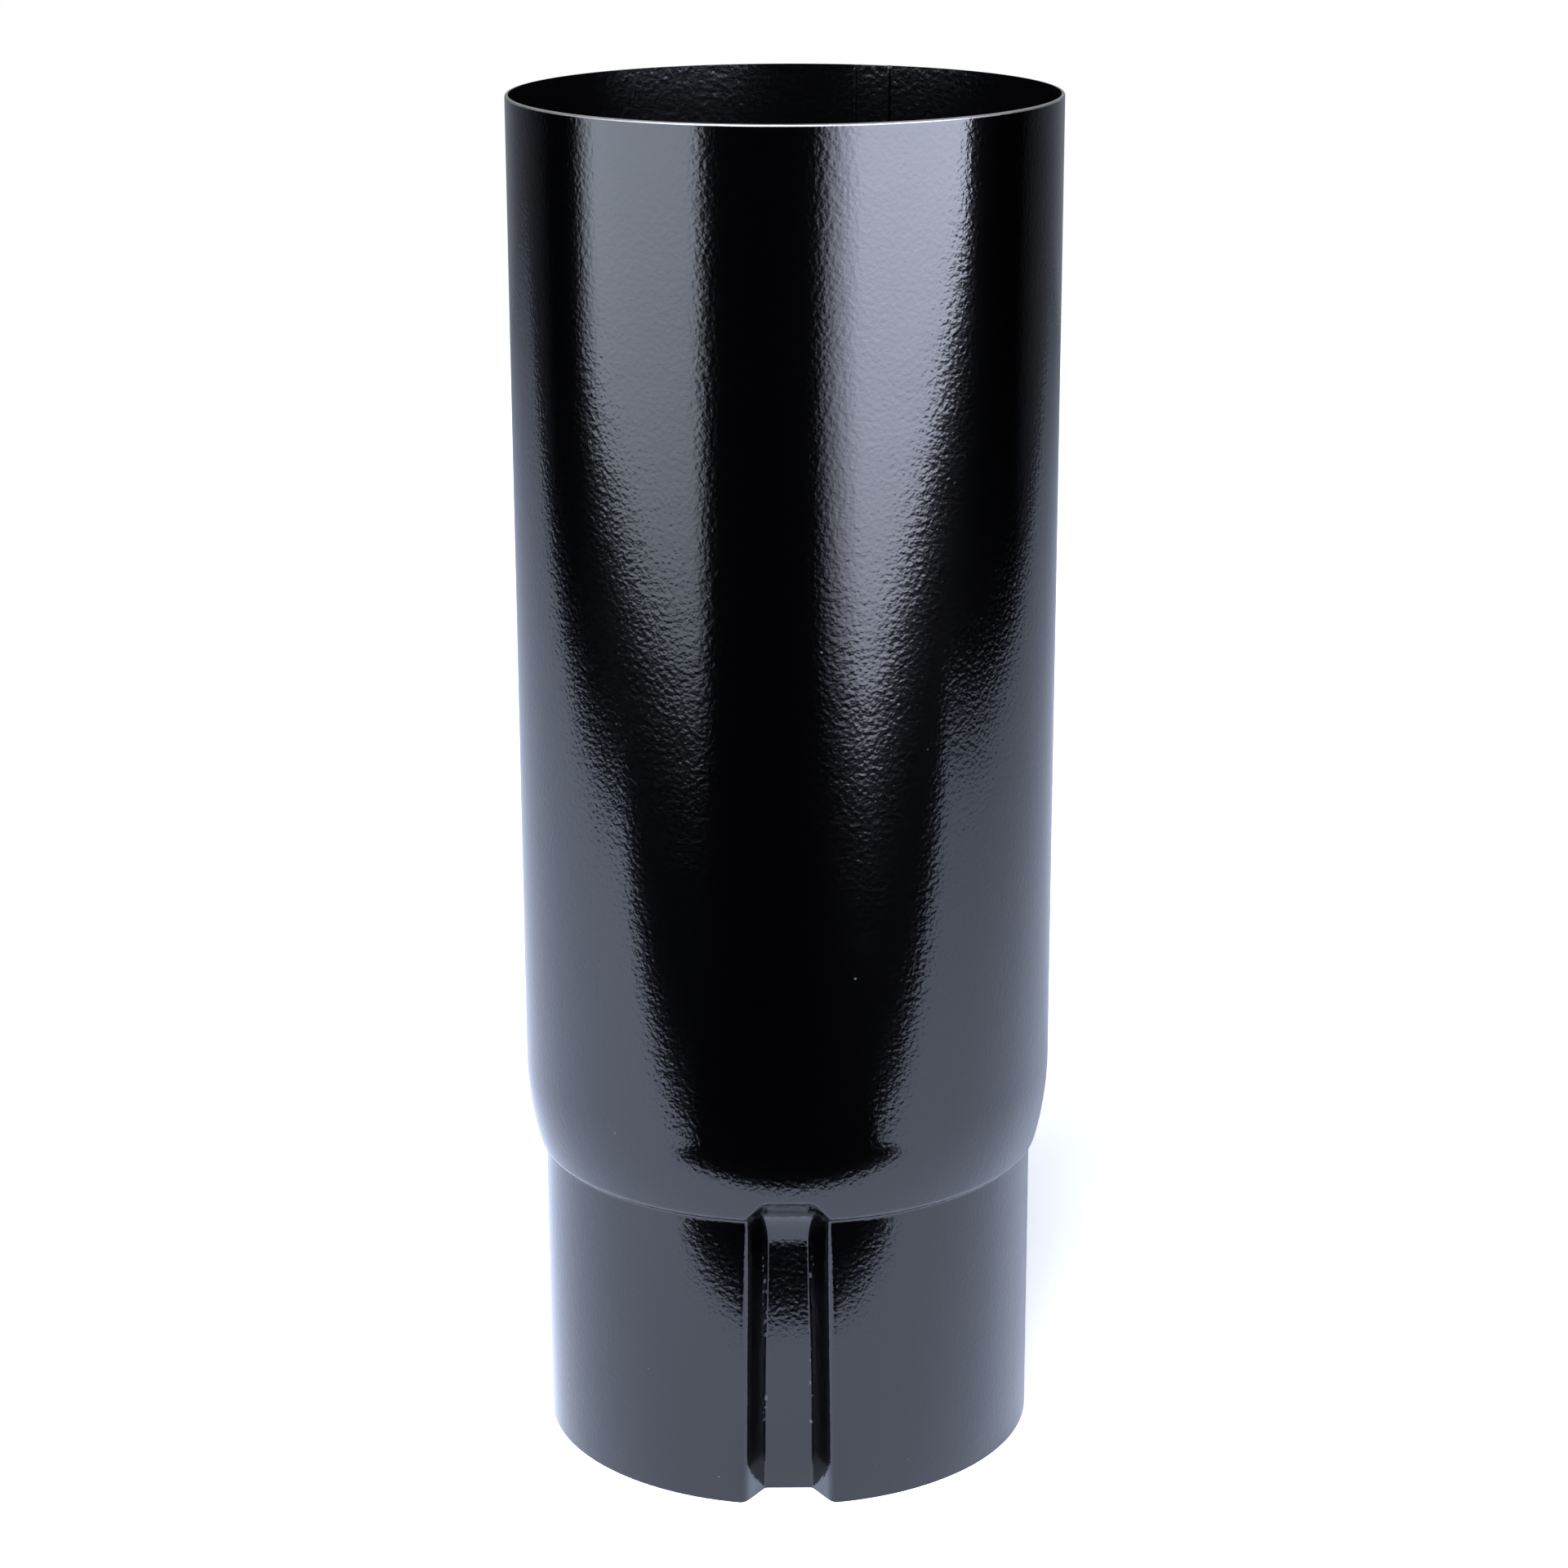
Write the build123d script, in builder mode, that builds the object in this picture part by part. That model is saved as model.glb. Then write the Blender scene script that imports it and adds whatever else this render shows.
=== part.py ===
from build123d import *
from math import acos, cos, degrees, radians, sin, sqrt, tan
import os

os.makedirs("parts", exist_ok=True)

# Downpipe connector in thin steel sheet, one piece, standing on its spigot end.
# Millimetres, pipe axis on Z, bottom edge at Z = 0, recess toward -Y.

# Pipe
body_diameter = 100.0       # outside of the socket
wall = 0.6                  # painted steel sheet
overall_length = 255.2
spigot_length = 56.4        # from the bottom edge to the foot of the shoulder
insertion_play = 2.8        # all round, between the spigot and the pipe it slides into

# Shoulder, in section three arcs that run into each other
gentle_radius = 62.0        # where the body starts to draw in
brow_radius = 1.8           # the tight brow at its lower edge
foot_radius = 0.6           # the hollow where the brow meets the spigot
steepest_lean = 66.0        # degrees off the axis, between brow and foot

# Recess pressed into the front of the spigot, clear of the seam inside the next pipe
recess_depth = 6.8          # from the front of the spigot back to the recess floor
mouth_width = 16.4          # across the opening at the bottom edge, before its lips are rounded
floor_width = 8.8           # at the bottom edge
ramp_drop = 3.4             # the end ramp starts this far below the foot of the shoulder
recess_draft = 0.6          # degrees that floor and sides close in toward the top
ramp_lean = 47.0            # degrees that the end ramp opens away from the axis
corner_radius = 3.0         # inner bend between each side and the end ramp
lip_radius = 1.4            # outer bend between the spigot and the recess
crease_radius = 0.7         # inner bend round the recess floor

body_radius = body_diameter / 2
spigot_radius = body_radius - wall - insertion_play
shoulder_step = body_radius - spigot_radius

# The gentle arc takes up whatever the other two leave of the step
gentle_lean = degrees(acos(
    (gentle_radius + foot_radius - shoulder_step - (brow_radius + foot_radius) * cos(radians(steepest_lean)))
    / (gentle_radius - brow_radius)
))

floor_top = spigot_length - ramp_drop
floor_distance = spigot_radius - recess_depth
mouth_distance = sqrt(spigot_radius**2 - (mouth_width / 2) ** 2)
cutter_reach = body_radius - floor_distance
side_spread = (mouth_width - floor_width) / 2 * cutter_reach / (mouth_distance - floor_distance)

# Tool form of the recess: a tapering channel cut off by the end ramp, its inner bends rounded
with BuildPart() as recess_form:
    with BuildSketch():
        with BuildLine():
            Polyline(
                (-floor_width / 2, -floor_distance),
                (-floor_width / 2 - side_spread, -body_radius),
                (floor_width / 2 + side_spread, -body_radius),
                (floor_width / 2, -floor_distance),
                close=True,
            )
        make_face()
    extrude(amount=floor_top + cutter_reach * tan(radians(ramp_lean)), taper=recess_draft)
    ramp_direction = (0, sin(radians(ramp_lean)), cos(radians(ramp_lean)))
    split(bisect_by=Plane((0, -floor_distance, floor_top), z_dir=ramp_direction), keep=Keep.BOTTOM)
    ramp_edges = recess_form.faces().sort_by(Axis.Z)[-1].edges().sort_by(Axis.X)
    fillet([ramp_edges[0], ramp_edges[-1]], radius=corner_radius)
    floor_edges = recess_form.faces().sort_by(Axis.Y)[-1].edges()
    fillet(floor_edges.filter_by_position(Axis.Z, floor_top / 10, overall_length), radius=crease_radius)

with BuildPart() as connector_pipe:
    # Body, shoulder and spigot turned as one solid form
    with BuildSketch(Plane.XZ):
        with BuildLine():
            spigot_side = Line((spigot_radius, 0), (spigot_radius, spigot_length))
            foot = JernArc(spigot_side @ 1, (0, 1), foot_radius, -steepest_lean)
            brow = JernArc(foot @ 1, foot % 1, brow_radius, steepest_lean - gentle_lean)
            shoulder = JernArc(brow @ 1, brow % 1, gentle_radius, gentle_lean)
            Line(shoulder @ 1, (body_radius, overall_length))
            Polyline((body_radius, overall_length), (0, overall_length), (0, 0), (spigot_radius, 0))
        make_face()
    revolve(axis=Axis.Z)

    # Recess pressed in, with the bends along its mouth rounded
    add(recess_form.part, mode=Mode.SUBTRACT)
    lips = connector_pipe.edges(Select.LAST).filter_by_position(Axis.Y, -body_radius, wall - mouth_distance)
    fillet(lips, radius=lip_radius)

    # Sheet of even thickness, open at both ends
    ends = connector_pipe.faces().sort_by(Axis.Z)
    offset(amount=-wall, openings=[ends[0], ends[-1]])
connector_pipe.part.label = "connector_pipe"
export_step(connector_pipe.part, "parts/connector_pipe.step")
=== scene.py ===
from math import acos, atan2, cos, hypot, pi, radians, sin, sqrt, tan

import bmesh
import bpy
from mathutils import Matrix, Vector


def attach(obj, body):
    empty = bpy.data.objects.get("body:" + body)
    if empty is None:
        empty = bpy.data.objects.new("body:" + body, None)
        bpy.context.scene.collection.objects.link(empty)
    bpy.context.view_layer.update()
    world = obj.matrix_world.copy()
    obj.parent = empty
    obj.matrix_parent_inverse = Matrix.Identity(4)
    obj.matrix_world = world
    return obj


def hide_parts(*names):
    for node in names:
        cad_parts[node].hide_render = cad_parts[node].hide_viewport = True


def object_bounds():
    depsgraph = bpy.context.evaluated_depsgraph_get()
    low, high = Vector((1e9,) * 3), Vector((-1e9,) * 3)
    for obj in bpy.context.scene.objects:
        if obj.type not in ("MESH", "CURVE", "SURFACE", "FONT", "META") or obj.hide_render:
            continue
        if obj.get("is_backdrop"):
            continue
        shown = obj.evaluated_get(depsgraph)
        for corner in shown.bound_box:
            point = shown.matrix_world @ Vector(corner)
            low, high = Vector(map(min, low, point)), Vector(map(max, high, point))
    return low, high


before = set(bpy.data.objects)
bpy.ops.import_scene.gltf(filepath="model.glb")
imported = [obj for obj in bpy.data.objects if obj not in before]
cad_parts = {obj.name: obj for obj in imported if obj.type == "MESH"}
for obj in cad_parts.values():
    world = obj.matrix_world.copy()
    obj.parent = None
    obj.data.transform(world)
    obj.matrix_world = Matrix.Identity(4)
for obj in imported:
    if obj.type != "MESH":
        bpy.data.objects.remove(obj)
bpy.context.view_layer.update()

# Pipe sheet: thin steel rolled round, its lower end drawn in through a rounded shoulder
# to a spigot that slides into the next pipe. One line is drawn up its outside, from the
# bottom edge to the mouth, and turned round the axis.
mm = 0.001
wall = 0.6 * mm
body_radius = 50.0 * mm
spigot_radius = 46.6 * mm
overall_length = 255.2 * mm
spigot_length = 56.4 * mm
gentle_radius, brow_radius, foot_radius = 62.0 * mm, 1.8 * mm, 0.6 * mm
steepest_lean = radians(66.0)
gentle_lean = acos(
    (gentle_radius + foot_radius - (body_radius - spigot_radius)
     - (brow_radius + foot_radius) * cos(steepest_lean)) / (gentle_radius - brow_radius)
)


def even_steps(start, end, count):
    return [start + (end - start) * step / count for step in range(1, count + 1)]


def bend(outline, radius, start_lean, leans):
    """Carries the outline on along an arc to each lean off the axis. A hollow has a negative radius."""
    start_radius, start_height = outline[-1]
    for lean in leans:
        outline.append((
            start_radius + radius * (cos(lean) - cos(start_lean)),
            start_height + radius * (sin(start_lean) - sin(lean)),
        ))


# Points are close together where the recess runs out and round the shoulder's lower edge
plain_from, fine_from, rim_from = 6.0 * mm, 46.0 * mm, 253.0 * mm
fine_lean = radians(11.0)
outline = [(spigot_radius, height) for height in (0.0, 0.8 * mm, 2.5 * mm, plain_from)]
outline += [(spigot_radius, height) for height in even_steps(plain_from, fine_from, 16)]
outline += [(spigot_radius, height) for height in even_steps(fine_from, spigot_length, 26)]
bend(outline, -foot_radius, 0, even_steps(0, steepest_lean, 4))
bend(outline, brow_radius, steepest_lean, even_steps(steepest_lean, gentle_lean, 7))
bend(outline, gentle_radius, gentle_lean,
     even_steps(gentle_lean, fine_lean, 10) + even_steps(fine_lean, 0, 11))
outline += [(body_radius, height) for height in even_steps(outline[-1][1], rim_from, 18)]
outline += [(body_radius, overall_length - 0.9 * mm), (body_radius, overall_length)]

# Columns are close together where the recess is pressed and where the seam lies.
# Angles start from the front, and grow toward the camera's right
recess_half_angle, recess_margin = radians(14.0), radians(25.0)
seam_angle, seam_margin = radians(160.0), radians(6.0)
full_turn = 2 * pi
bands = (
    (-recess_half_angle, recess_half_angle, 120),
    (recess_half_angle, recess_margin, 14),
    (recess_margin, seam_angle - seam_margin, 92),
    (seam_angle - seam_margin, seam_angle + seam_margin, 48),
    (seam_angle + seam_margin, full_turn - recess_margin, 120),
    (full_turn - recess_margin, full_turn - recess_half_angle, 14),
)


def draw_line(points, angle):
    """Draws edges through (radius, height) points at that angle, and stays in edit mode."""
    bpy.ops.object.select_all(action="DESELECT")
    bpy.ops.mesh.primitive_plane_add(size=mm)
    bpy.ops.object.mode_set(mode="EDIT")
    bpy.ops.mesh.select_mode(type="VERT")
    bpy.ops.mesh.merge(type="CENTER")
    places = [Vector((radius * sin(angle), -radius * cos(angle), height)) for radius, height in points]
    bpy.ops.transform.translate(value=places[0])
    for here, there in zip(places, places[1:]):
        bpy.ops.mesh.extrude_vertices_move(TRANSFORM_OT_translate={"value": there - here})


draw_line(outline, -recess_half_angle)
bpy.ops.mesh.select_all(action="SELECT")
for start, end, steps in bands:
    # Spin turns the other way round from these angles
    bpy.ops.mesh.spin(steps=steps, angle=start - end, center=(0, 0, 0), axis=(0, 0, 1))
bpy.ops.mesh.select_all(action="SELECT")
bpy.ops.mesh.remove_doubles(threshold=0.01 * mm)
bpy.ops.mesh.normals_make_consistent(inside=False)
bpy.ops.object.mode_set(mode="OBJECT")
pipe = bpy.context.object
pipe.name = "pipe_sheet"

# Recess: pressed into the front of the spigot, to clear the seam inside the next pipe.
# Its floor lies between leaning sides and runs out upward in a hollow ramp under an
# arched end. The sheet is pushed straight back on to these faces, its bends rounded.
recess_depth = 6.8 * mm
mouth_width, floor_width = 16.4 * mm, 8.8 * mm
recess_draft = radians(0.6)
dish_foot, dish_depth = 22.0 * mm, 0.6 * mm
ramp_foot, ramp_length, ramp_rise = 48.0 * mm, 13.3 * mm, 8.9 * mm
arch_foot, arch_lean, arch_bend = spigot_length + 0.5 * mm, radians(47.0), 1.5 * mm
floor_bend, ramp_bend = 0.42 * mm, 1.0 * mm
side_lip, ramp_lip = 1.8 * mm, 0.6 * mm
recess_reach, recess_top = 11.0 * mm, 64.0 * mm
floor_distance = spigot_radius - recess_depth
mouth_distance = sqrt(spigot_radius**2 - (mouth_width / 2) ** 2)
side_slope = (mouth_distance - floor_distance) / ((mouth_width - floor_width) / 2)


def rounding(one, other, size):
    """How far a rounded bend departs from the corner of two faces that are less than its size apart."""
    return max(size - abs(one - other), 0) ** 2 / (4 * size)


def within(share):
    return min(max(share, 0), 1)


for vertex in pipe.data.vertices:
    x, y, z = vertex.co
    if y > 0 or abs(x) > recess_reach or z > recess_top:
        continue
    closing = z * tan(recess_draft)
    dish_share = within((z - dish_foot) / (ramp_foot - dish_foot))
    floor = -floor_distance - closing + dish_depth * dish_share**2 * (3 - 2 * dish_share)
    ramp_share = max((z - ramp_foot) / ramp_length, 0)
    ramp = floor - ramp_rise * ramp_share**3
    arch = (z - arch_foot) * tan(arch_lean)
    arch = max(arch, 0) + rounding(arch, 0, arch_bend)
    side = -floor_distance - (abs(x) + arch - floor_width / 2) * side_slope
    side -= closing * sqrt(1 + side_slope**2)
    inner_bend = floor_bend + (ramp_bend - floor_bend) * within(ramp_share)
    pressed = min(side, ramp) - rounding(side, ramp, inner_bend)
    lip = side_lip + (ramp_lip - side_lip) * within(ramp_share)
    vertex.co.y = max(y, pressed) + rounding(y, pressed, lip)

# Back seam: the two edges of the sheet hooked into each other and rolled flat. Outside
# it is one fine groove, and inside a low strip of folded layers.
groove_angle, groove_half_angle, groove_depth = seam_angle + radians(4.2), radians(0.2), 0.3 * mm
strip_half_angle, strip_height, strip_bend = radians(4.1), 0.8 * mm, 0.5 * mm


def angle_round(place):
    return atan2(place.x, -place.y) % full_turn


def select_where(test, kind="verts"):
    """In edit mode, selects the verts, edges or faces that pass the test, and nothing else."""
    mesh = bmesh.from_edit_mesh(bpy.context.object.data)
    for element in (*mesh.faces, *mesh.edges, *mesh.verts):
        element.select_set(False)
    for element in getattr(mesh, kind):
        if test(element):
            element.select_set(True)
    bmesh.update_edit_mesh(bpy.context.object.data)


bpy.ops.object.mode_set(mode="EDIT")
select_where(lambda vertex: abs(angle_round(vertex.co) - groove_angle) < groove_half_angle)
groove_share = 1 - groove_depth / body_radius
bpy.ops.transform.resize(value=(groove_share, groove_share, 1), center_override=(0, 0, 0))
bpy.ops.object.mode_set(mode="OBJECT")


def new_material(name):
    material = bpy.data.materials.new(name)
    material.use_nodes = True
    return material


# The wall goes inward from the outside. Its lining and its bare cut ends get the second
# and third of these materials
LINING, BARE = 1, 2
paint = new_material("black_gloss_paint")
lining = new_material("black_lining_paint")
bare = new_material("bare_cut_steel")
for material in (paint, lining, bare):
    pipe.data.materials.append(material)
bpy.ops.object.select_all(action="DESELECT")
pipe.select_set(True)
bpy.context.view_layer.objects.active = pipe
sheet = pipe.modifiers.new("sheet", "SOLIDIFY")
sheet.thickness = wall
sheet.offset = -1
sheet.use_even_offset = True
sheet.material_offset = LINING
sheet.material_offset_rim = BARE
bpy.ops.object.modifier_apply(modifier=sheet.name)


def strip_face(face):
    """A face of the lining over which the folded layers of the seam lie."""
    off_seam = abs(angle_round(face.calc_center_median()) - seam_angle)
    return face.material_index == LINING and off_seam < strip_half_angle


def strip_edge(edge):
    """A length of one of the two upper edges of the folded strip."""
    off_seam = [abs(angle_round(vertex.co) - seam_angle) for vertex in edge.verts]
    lengthwise = max(abs(angle - strip_half_angle) for angle in off_seam) < radians(0.2)
    return lengthwise and edge.calc_face_angle(0) > radians(60) and edge.is_convex


def rim_edge(edge):
    """A length of the outer edge of the upper cut end."""
    return all(
        vertex.co.z > overall_length - 0.01 * mm
        and hypot(vertex.co.x, vertex.co.y) > body_radius - 0.1 * mm
        for vertex in edge.verts
    )


bpy.ops.object.mode_set(mode="EDIT")
select_where(strip_face, "faces")
bpy.ops.mesh.extrude_region_shrink_fatten(TRANSFORM_OT_shrink_fatten={"value": strip_height})
bpy.ops.mesh.select_mode(type="EDGE")
select_where(strip_edge, "edges")
bpy.ops.mesh.bevel(offset=strip_bend, segments=3, affect="EDGES")

# Upper rim: cut square after painting, which leaves bare steel and an outer edge that is
# a little rounded.
rim_round = 0.36 * mm
select_where(rim_edge, "edges")
bpy.ops.mesh.bevel(offset=rim_round, segments=3, affect="EDGES", material=BARE)
bpy.ops.object.mode_set(mode="OBJECT")
bpy.ops.object.shade_smooth_by_angle(angle=radians(50))
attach(pipe, "root")
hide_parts("connector_pipe")

# Finish: black gloss powder paint, baked on, with the fine orange peel that such paint
# sets with and some dust caught in it, thinner and duller on the lining.


def add_node(tree, kind, inputs=None, **settings):
    """A shader node of that kind. Each of the inputs given is set to a value or linked from a socket."""
    node = tree.nodes.new("ShaderNode" + kind)
    for setting, value in settings.items():
        setattr(node, setting, value)
    for socket, value in (inputs or {}).items():
        if isinstance(value, bpy.types.NodeSocket):
            tree.links.new(value, node.inputs[socket])
        else:
            node.inputs[socket].default_value = value
    return node


def maths(tree, operation, *values):
    """The result of a Math node on sockets and plain numbers."""
    return add_node(tree, "Math", dict(enumerate(values)), operation=operation).outputs["Value"]


def new_group(name, numbers, output):
    """A shader node group, its number inputs by name, and its one output."""
    group = bpy.data.node_groups.new(name, "ShaderNodeTree")
    for label, value in numbers.items():
        socket = group.interface.new_socket(label, in_out="INPUT", socket_type="NodeSocketFloat")
        socket.default_value = value
    group.interface.new_socket(output, in_out="OUTPUT", socket_type="NodeSocketFloat")
    given, result = group.nodes.new("NodeGroupInput"), group.nodes.new("NodeGroupOutput")
    return group, given.outputs, result.inputs[output]


orange_peel, given, result = new_group("orange_peel", {"Cells per metre": 600.0}, "Height")
place = add_node(orange_peel, "TexCoord").outputs["Object"]
cells = add_node(orange_peel, "TexNoise", {
    "Vector": place, "Scale": given["Cells per metre"], "Detail": 1.5, "Roughness": 0.45})
swell = add_node(orange_peel, "TexNoise", {
    "Vector": place, "Scale": maths(orange_peel, "MULTIPLY", given["Cells per metre"], 0.09), "Detail": 1.0})
height = maths(orange_peel, "MULTIPLY_ADD", swell.outputs["Fac"], 0.9, cells.outputs["Fac"])
orange_peel.links.new(height, result)

specks, given, result = new_group("specks", {"Specks per metre": 160.0, "Size": 0.036}, "Mask")
place = add_node(specks, "TexCoord").outputs["Object"]
spread = add_node(specks, "TexVoronoi", {"Vector": place, "Scale": given["Specks per metre"]})
chance = add_node(specks, "SeparateColor", {"Color": spread.outputs["Color"]}).outputs["Red"]
size = maths(specks, "MULTIPLY", given["Size"], chance)
specks.links.new(maths(specks, "LESS_THAN", spread.outputs["Distance"], size), result)

# The two lines where the recess floor meets its sides, up to the ramp
along_creases, given, result = new_group(
    "along_creases", {"Half width": 4.3 * mm, "Reach": 0.4 * mm}, "Mask")
place = add_node(along_creases, "TexCoord").outputs["Object"]
place = add_node(along_creases, "SeparateXYZ", {"Vector": place}).outputs
off_axis = maths(along_creases, "ABSOLUTE", place["X"])
off_crease = maths(along_creases, "SUBTRACT", off_axis, given["Half width"])
near = maths(along_creases, "LESS_THAN", maths(along_creases, "ABSOLUTE", off_crease), given["Reach"])
front = maths(along_creases, "LESS_THAN", place["Y"], -0.6 * floor_distance)
low = maths(along_creases, "LESS_THAN", place["Z"], ramp_foot)
near_front = maths(along_creases, "MULTIPLY", near, front)
along_creases.links.new(maths(along_creases, "MULTIPLY", near_front, low), result)


def finish(material, colour, roughness, peel_depth, cells_per_metre, dust_colour):
    """Paint with orange peel of that depth, and dust set in it, most of it along the recess's creases."""
    tree = material.node_tree
    peel = add_node(tree, "Group", node_tree=orange_peel)
    peel.inputs["Cells per metre"].default_value = cells_per_metre
    dots = add_node(tree, "Group", node_tree=specks)
    creases = add_node(tree, "Group", node_tree=along_creases)
    grit = add_node(tree, "Group", {"Specks per metre": 750.0, "Size": 0.42}, node_tree=specks)
    grit = maths(tree, "MULTIPLY", grit.outputs["Mask"], creases.outputs["Mask"])
    dust = maths(tree, "MAXIMUM", dots.outputs["Mask"], grit)
    tint = add_node(tree, "Mix", {
        "A": (*colour, 1), "B": (*dust_colour, 1), "Factor": dust}, data_type="RGBA")
    height = maths(tree, "MULTIPLY_ADD", dust, 0.8, peel.outputs["Height"])
    bump = add_node(tree, "Bump", {"Distance": peel_depth, "Height": height})
    shader = tree.nodes["Principled BSDF"]
    shader.inputs["IOR"].default_value = 1.5
    tree.links.new(tint.outputs["Result"], shader.inputs["Base Color"])
    tree.links.new(maths(tree, "MULTIPLY_ADD", dust, 0.3, roughness), shader.inputs["Roughness"])
    tree.links.new(bump.outputs["Normal"], shader.inputs["Normal"])


finish(paint, colour=(0.0003, 0.0003, 0.0004), roughness=0.11, peel_depth=0.036 * mm,
       cells_per_metre=1150.0, dust_colour=(0.04, 0.04, 0.05))
finish(lining, colour=(0.0003, 0.0003, 0.0004), roughness=0.17, peel_depth=0.075 * mm,
       cells_per_metre=950.0, dust_colour=(0.02, 0.02, 0.02))

# Bare steel, grey and finely scored by the cut
tree = bare.node_tree
place = add_node(tree, "TexCoord").outputs["Object"]
grain = add_node(tree, "TexNoise", {"Vector": place, "Scale": 900.0})
shader = tree.nodes["Principled BSDF"]
shader.inputs["Base Color"].default_value = (0.21, 0.20, 0.19, 1)
shader.inputs["Metallic"].default_value = 1.0
tree.links.new(maths(tree, "MULTIPLY_ADD", grain.outputs["Fac"], 0.3, 0.25), shader.inputs["Roughness"])

# Table: a white board that the pipe stands on. Beyond its edges the room is dark, which
# is what the black paint mirrors, while the camera sees plain white there.
table_corners = (-0.44, -0.160, 0), (0.52, -0.203, 0), (-1.28, 1.2, 0), (0.91, 1.2, 0)


def set_board(name, corners, material):
    """A flat piece of the set. Its corners go from left to right, the lower or nearer two first."""
    bpy.ops.object.select_all(action="DESELECT")
    bpy.ops.mesh.primitive_plane_add(size=1)
    board = bpy.context.object
    board.name = name
    for vertex, corner in zip(board.data.vertices, corners):
        vertex.co = corner
    board.data.materials.append(material)
    board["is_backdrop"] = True
    return board


def fade(tree, value, start, end, at_start, at_end):
    """Goes evenly from one level to the other while value goes from start to end."""
    names = "Value", "From Min", "From Max", "To Min", "To Max"
    limits = dict(zip(names, (value, start, end, at_start, at_end)))
    return add_node(tree, "MapRange", limits).outputs["Result"]


white_board = new_material("white_board")
tree = white_board.node_tree
shader = tree.nodes["Principled BSDF"]
shader.inputs["Base Color"].default_value = (0.86, 0.88, 0.9, 1)
shader.inputs["Roughness"].default_value = 0.6
shader.inputs["Specular IOR Level"].default_value = 0.0

# To the camera the board glows up to white, a little less close to the pipe, where the shadow shows
place = add_node(tree, "TexCoord").outputs["Object"]
away = add_node(tree, "VectorMath", {0: place}, operation="LENGTH").outputs["Value"]
seen = add_node(tree, "LightPath").outputs["Is Camera Ray"]
glow = add_node(tree, "Emission", {
    "Strength": maths(tree, "MULTIPLY", seen, fade(tree, away, 0.1, 0.5, 0.55, 1.0))})
both = add_node(tree, "AddShader", {0: shader.outputs["BSDF"], 1: glow.outputs["Emission"]})
tree.links.new(both.outputs["Shader"], tree.nodes["Material Output"].inputs["Surface"])
set_board("table", table_corners, white_board)

# Lights: two upright soft boxes in front of the table, brighter toward their tops, the
# right one stronger; black cloths round the set and one on the table, which keep the
# white room out of the paint. The cloths behind the pipe glow faint blue, a painted
# reflection along the pipe's sides, and the one on the table is painted shade; and a
# broad light overhead.
upward, backward = Vector((0, 0, 1)), Vector((0, 1, 0))


def across(azimuth):
    """Level direction toward the camera's right along a card that faces the pipe from that azimuth."""
    return Vector((cos(radians(azimuth)), sin(radians(azimuth)), 0))


def glowing(name, colour, strength, *fades):
    """
    A glowing material. Each fade is a direction, where along it the fade starts and ends,
    and the share of the strength that is left there.
    """
    material = new_material(name)
    tree = material.node_tree
    tree.nodes.remove(tree.nodes["Principled BSDF"])
    place = add_node(tree, "TexCoord").outputs["Object"]
    level = strength
    for direction, *limits in fades:
        along = add_node(tree, "VectorMath", {0: place, 1: direction}, operation="DOT_PRODUCT")
        level = maths(tree, "MULTIPLY", fade(tree, along.outputs["Value"], *limits), level)
    lamp = add_node(tree, "Emission", {"Color": (*colour, 1), "Strength": level})
    tree.links.new(lamp.outputs["Emission"], tree.nodes["Material Output"].inputs["Surface"])
    return material


def mirrored_board(name, corners, material):
    """A cloth or light face, seen in the paint and the steel and nowhere else."""
    board = set_board(name, corners, material)
    board.visible_camera = False
    board.visible_shadow = False
    board.visible_diffuse = False


def card(name, azimuth, distance, left, right, low_left, low_right, high, material):
    """
    An upright card that faces the pipe. Azimuth 0 is on the camera's side and grows to its
    right; left and right are the card's reach from there, and its lower edge may slope.
    """
    along = across(azimuth)
    centre = Vector((distance * sin(radians(azimuth)), -distance * cos(radians(azimuth)), 0))
    ends = (left, low_left), (right, low_right), (left, high), (right, high)
    mirrored_board(name, [centre + along * reach + upward * height for reach, height in ends], material)


# The cloths glow faint blue toward the back: a painted reflection, from cards that are no lamps, for the
# grey sheen along the pipe's upper sides
cloth = glowing("black_cloth_glowing_behind", (0.75, 0.83, 1.0), 0.34, (backward, 0.6, 1.5, 0.0, 1.0))
for azimuth in range(0, 360, 45):
    card("cloth_%d" % azimuth, azimuth, distance=1.6, left=-0.75, right=0.75,
         low_left=-1.2, low_right=-1.2, high=0.9, material=cloth)
# Painted shade: a black sheet lying on the front of the table, seen only in the paint, that darkens the
# table's reflection in front of the pipe
shade_patch_side, shade_patch_front, shade_patch_back, shade_patch_height = 0.125, -0.196, -0.124, 0.3 * mm
mirrored_board("cloth_on_table", [
    (side, edge, shade_patch_height) for edge in (shade_patch_front, shade_patch_back) for side in (-shade_patch_side, shade_patch_side)
], cloth)

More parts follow.
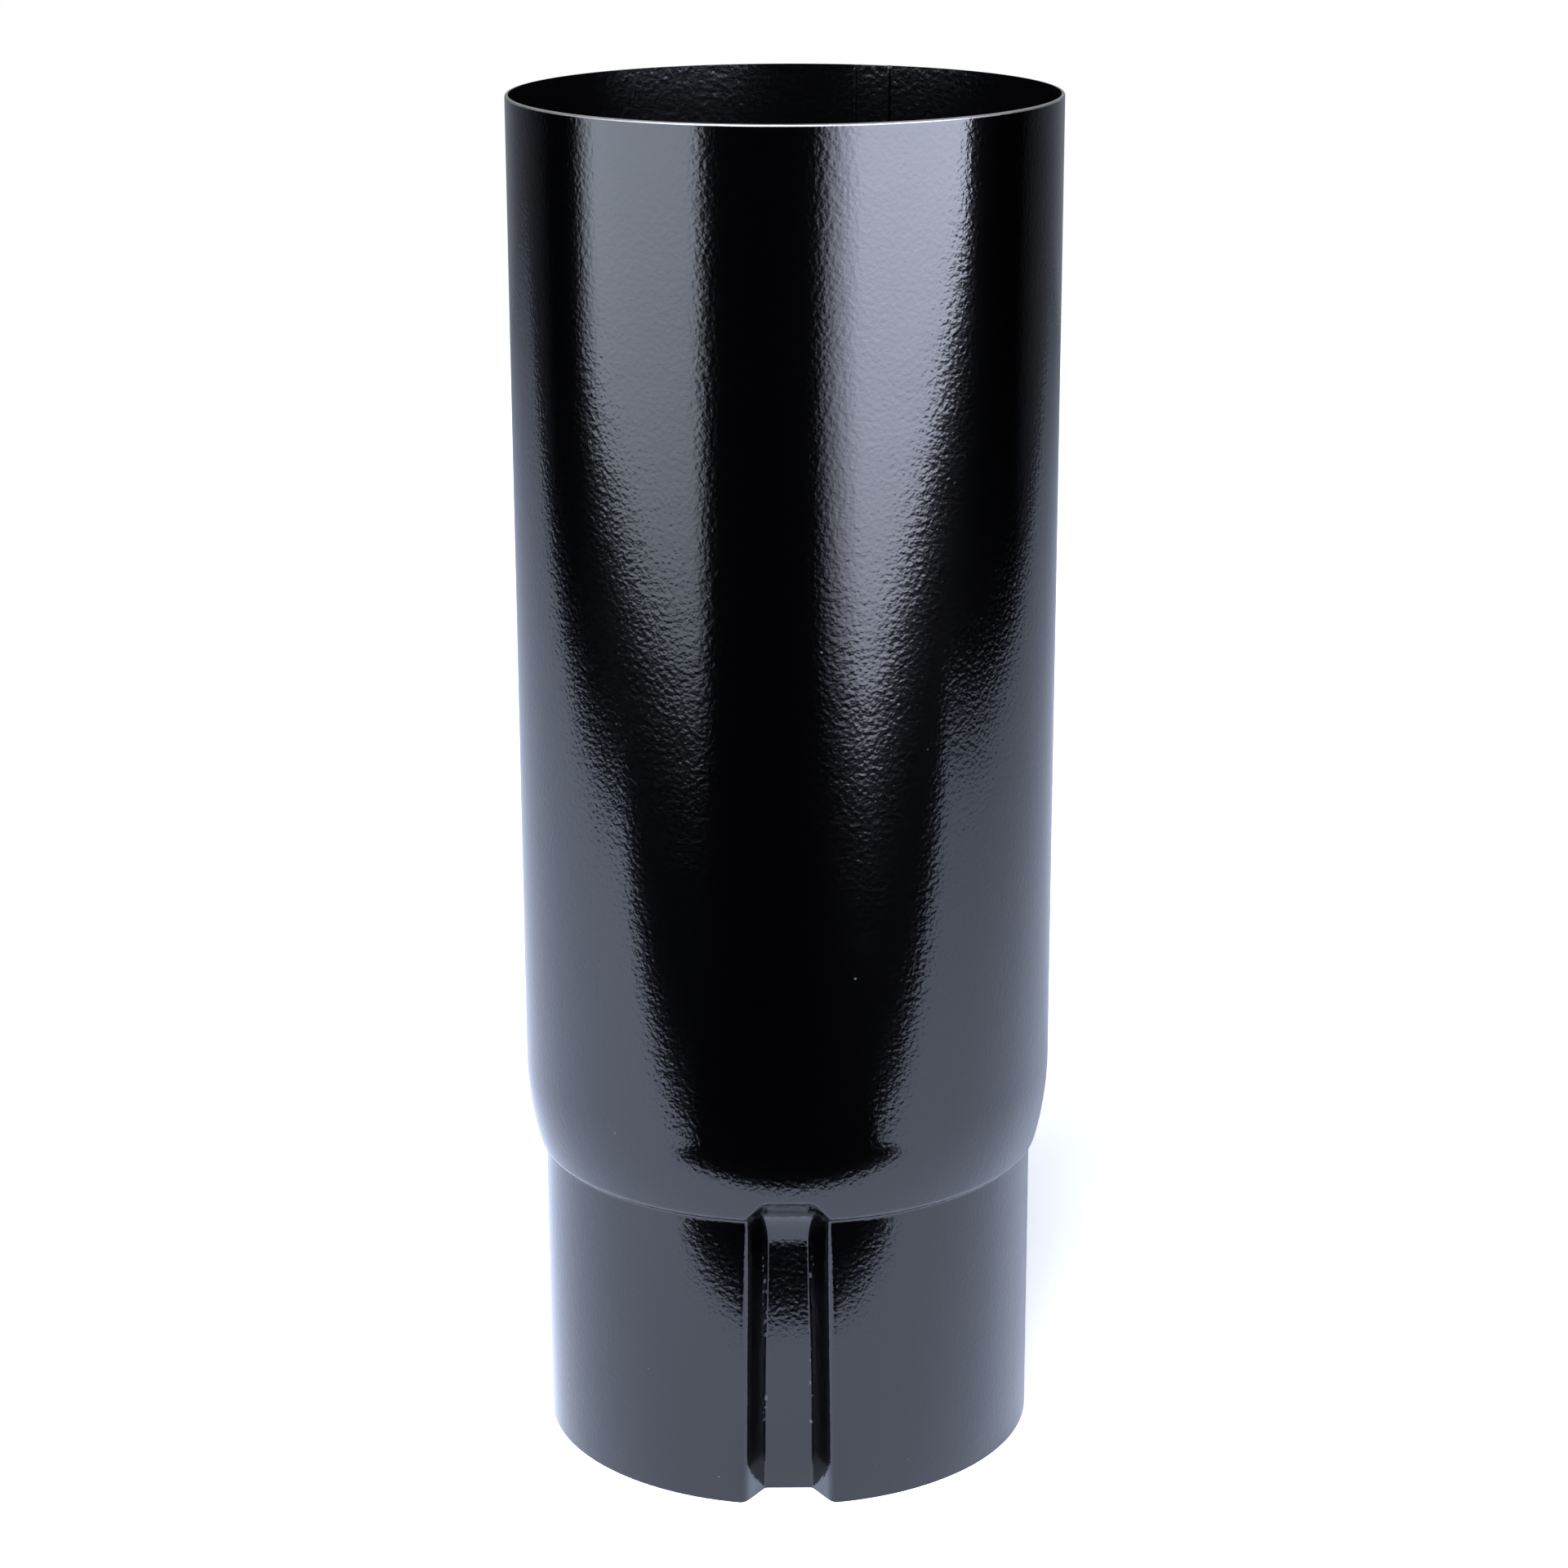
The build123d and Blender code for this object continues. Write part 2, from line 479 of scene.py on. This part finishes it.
left_azimuth, right_azimuth, box_distance, box_top = -62, 46, 0.75, 0.8
left_light = glowing(
    "left_soft_light", (0.76, 0.84, 1.0), 5.8, (upward, -0.06, 0.15, 0.45, 1.0),
    (across(left_azimuth), -0.42, -0.26, 0.0, 1.0), (across(left_azimuth), 0.36, 0.44, 1.0, 0.0))
right_light = glowing(
    "right_soft_light", (0.75, 0.80, 1.0), 12.8, (upward, -0.06, 0.17, 0.42, 1.0),
    (across(right_azimuth), -0.48, -0.225, 0.0, 1.0))
card("left_soft_box", left_azimuth, box_distance, left=-0.42, right=0.44,
     low_left=0.08, low_right=-0.066, high=box_top, material=left_light)
card("right_soft_box", right_azimuth, box_distance, left=-0.17, right=0.45,
     low_left=-0.045, low_right=0.12, high=box_top, material=right_light)
card("right_soft_box_side", right_azimuth, box_distance, left=-0.48, right=-0.17,
     low_left=-0.03, low_right=-0.045, high=box_top, material=right_light)

top_light = bpy.data.lights.new("top_light", "AREA")
top_light.shape = "DISK"
top_light.size = 1.2
top_light.energy = 102
top_light.color = (0.71, 0.785, 1.0)
top_lamp = bpy.data.objects.new("top_light", top_light)
top_lamp.location = (-0.3, -1.0, 1.1)
bpy.context.collection.objects.link(top_lamp)

# Room: white to the camera, and to what the paint and the steel mirror above the cloths,
# and dark to the rest, so that it lights nothing.
room = bpy.data.worlds.new("white_room")
room.use_nodes = True
bpy.context.scene.world = room
tree = room.node_tree
path = add_node(tree, "LightPath").outputs
backdrop = tree.nodes["Background"]
backdrop.inputs["Color"].default_value = (1, 1, 1, 1)
tree.links.new(
    maths(tree, "MAXIMUM", path["Is Camera Ray"], path["Is Glossy Ray"]), backdrop.inputs["Strength"])

# Camera: at the photograph's place, straight in front of the recess and a little above
# the mouth, with an 86 mm lens that looks down 16.6 degrees.
lens = bpy.data.cameras.new("camera")
lens.sensor_width = 36.0
lens.lens = 86.12
camera = bpy.data.objects.new("camera", lens)
bpy.context.collection.objects.link(camera)
pitch, roll = radians(16.606), radians(-0.17)
camera.matrix_world = (
    Matrix.Translation((-0.5 * mm, -677.5 * mm, 328.2 * mm))
    @ Matrix.Rotation(radians(90) - pitch, 4, "X")
    @ Matrix.Rotation(roll, 4, "Z")
)
bpy.context.scene.camera = camera
bpy.context.scene.view_settings.view_transform = "Standard"

low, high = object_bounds()
